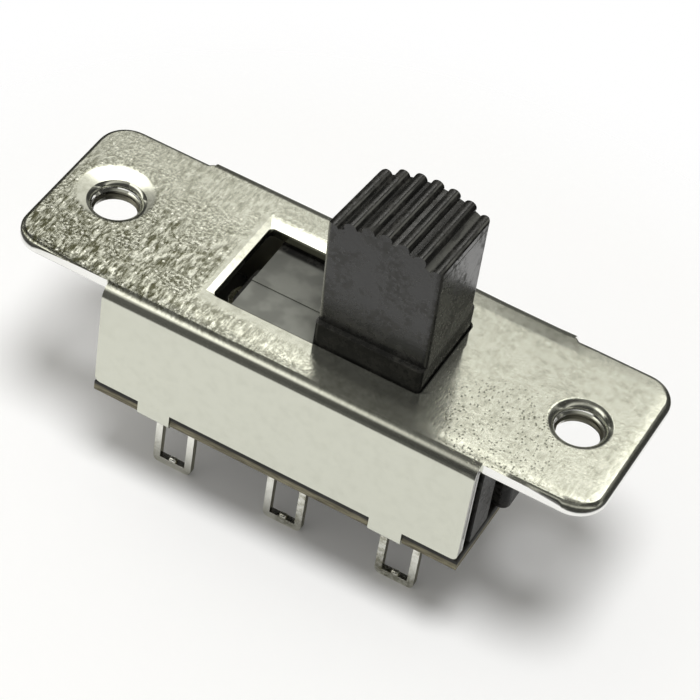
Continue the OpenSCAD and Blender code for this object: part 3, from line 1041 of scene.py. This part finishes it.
# What the metal mirrors. The angle runs from the horizon behind the switch, over the top, to the horizon
# before it. The other lists dim or brighten that from the left side of the room to the right.
roomLook = {
    "tone": (1.0, 0.985, 0.93),
    "peak": 3.0,
    "overTheTop": [(0, 0.06), (29, 0.06), (37, 0.16), (43.5, 0.6), (47, 0.64), (49.6, 0.54), (51.2, 2.3),
                   (54.2, 2.3), (55.6, 0.07), (86, 0.07), (94, 0.3), (103, 1.0), (112, 2.2), (126, 2.2),
                   (135, 0.8), (142, 0.12), (180, 0.09)],
    "sidewaysBehind": [(-1.0, 0.9), (-0.9, 0.9), (-0.8, 0.2), (-0.5, 0.2), (-0.42, 0.5), (-0.37, 1.26),
                       (-0.258, 1.65), (-0.225, 1.4), (-0.2, 1.05), (-0.172, 0.82), (-0.11, 2.4), (0.06, 2.4),
                       (0.13, 0.3), (0.8, 0.3), (0.9, 0.9), (1.0, 0.9)],
    "sidewaysBefore": [(-1.0, 0.9), (-0.28, 0.9), (-0.246, 0.15), (-0.1, 0.2), (1.0, 0.4)],
    "beforeFrom": (84, 94),
    "airReach": (-0.7, 0.7),
    "air": (0.62, 0.12),  # the soft light on the object from the left and from the right
}


def buildFloor(look):
    # a round table, which fades into the white room around it
    bpy.ops.mesh.primitive_circle_add(vertices=look["sides"], radius=look["radius"], fill_type="NGON",
                                      location=(0, 0, 0))
    floor = bpy.context.object
    floor.name = "floor"
    material, tree, surface = newMaterial("paleFloor")
    surface.inputs["Base Color"].default_value = (*look["tone"], 1)
    surface.inputs["Roughness"].default_value = look["roughness"]
    surface.inputs["Specular IOR Level"].default_value = 0.0
    surface.inputs["Emission Color"].default_value = (1, 1, 1, 1)
    rays = addNode(tree, "ShaderNodeLightPath", (0, 400))
    lift = product(tree, (200, 400), rays.outputs["Is Camera Ray"], look["seenLift"])
    tree.links.new(lift, surface.inputs["Emission Strength"])
    away = addNode(tree, "ShaderNodeVectorMath", (-300, 200), operation="LENGTH")
    tree.links.new(inMillimetres(tree, (-800, 200)), away.inputs[0])
    fade = remap(tree, (0, 200), away.outputs["Value"], look["fade"], (1.0, 0.0))
    tree.links.new(fade, surface.inputs["Alpha"])
    floor.data.materials.append(material)


def levelRamp(tree, place, source, points, span, peak):
    # a chain of levels against a value that runs over the span
    low, high = span
    ramp = addNode(tree, "ShaderNodeValToRGB", (place[0] + 200, place[1]))
    tree.links.new(remap(tree, place, source, span, smooth=False), ramp.inputs["Fac"])
    steps = ramp.color_ramp.elements
    while len(steps) < len(points):
        steps.new(0.5)
    for step, (value, level) in zip(steps, points):
        step.position = (value - low) / (high - low)
        step.color = (level / peak, level / peak, level / peak, 1)
    return product(tree, (place[0] + 500, place[1]), ramp.outputs["Color"], peak)


def buildRoom(look):
    world = bpy.data.worlds.new("studioRoom")
    bpy.context.scene.world = world
    world.cycles.sampling_method = "NONE"
    world.use_nodes = True
    tree = world.node_tree
    tree.nodes.clear()
    output = addNode(tree, "ShaderNodeOutputWorld", (1200, 0))
    air = addNode(tree, "ShaderNodeBackground", (1000, 0))
    tree.links.new(air.outputs["Background"], output.inputs["Surface"])

    # the room that shiny faces mirror
    coordinates = addNode(tree, "ShaderNodeTexCoord", (-1800, 0))
    across, along, height = axesOf(tree, (-1600, 0), coordinates.outputs["Generated"])
    turn = mathNode(tree, (-1400, 200), "DEGREES",
                    mathNode(tree, (-1600, 200), "ARCTAN2", height, along), 0.0)
    over = levelRamp(tree, (-1200, 300), turn, look["overTheTop"], (0, 180), look["peak"])
    behind = levelRamp(tree, (-1200, 0), across, look["sidewaysBehind"], (-1, 1), look["peak"])
    before = levelRamp(tree, (-1200, -300), across, look["sidewaysBefore"], (-1, 1), look["peak"])
    sideways = mixLevels(tree, (-500, 0), remap(tree, (-700, 400), turn, look["beforeFrom"]), behind, before)
    mirrored = product(tree, (-400, 200), over, sideways)

    # the soft light that falls on all of it, and the plain white that the camera sees
    soft = remap(tree, (-600, -600), across, look["airReach"], look["air"])
    rays = addNode(tree, "ShaderNodeLightPath", (0, 500))
    seen = mathNode(tree, (200, 600), "MAXIMUM", rays.outputs["Is Camera Ray"],
                    rays.outputs["Is Transmission Ray"])
    light = mixLevels(tree, (300, 0), rays.outputs["Is Glossy Ray"], soft, mirrored)
    tree.links.new(mixLevels(tree, (500, 0), seen, light, 1.0), air.inputs["Strength"])
    tree.links.new(mixColour(tree, (700, 200), seen, look["tone"], (1.0, 1.0, 1.0)), air.inputs["Color"])


def addLamp(look):
    bpy.ops.object.light_add(type="AREA", location=look["place"])
    lamp = bpy.context.object
    lamp.data.shape = "DISK"
    lamp.data.size = look["size"]
    lamp.data.energy = look["power"]
    lamp.rotation_euler = Vector(look["place"]).to_track_quat("Z", "Y").to_euler()
    lamp.visible_glossy = False


buildFloor(floorLook)
buildRoom(roomLook)
addLamp(lampLook)
bpy.context.scene.view_settings.view_transform = "Standard"
print("studio set")
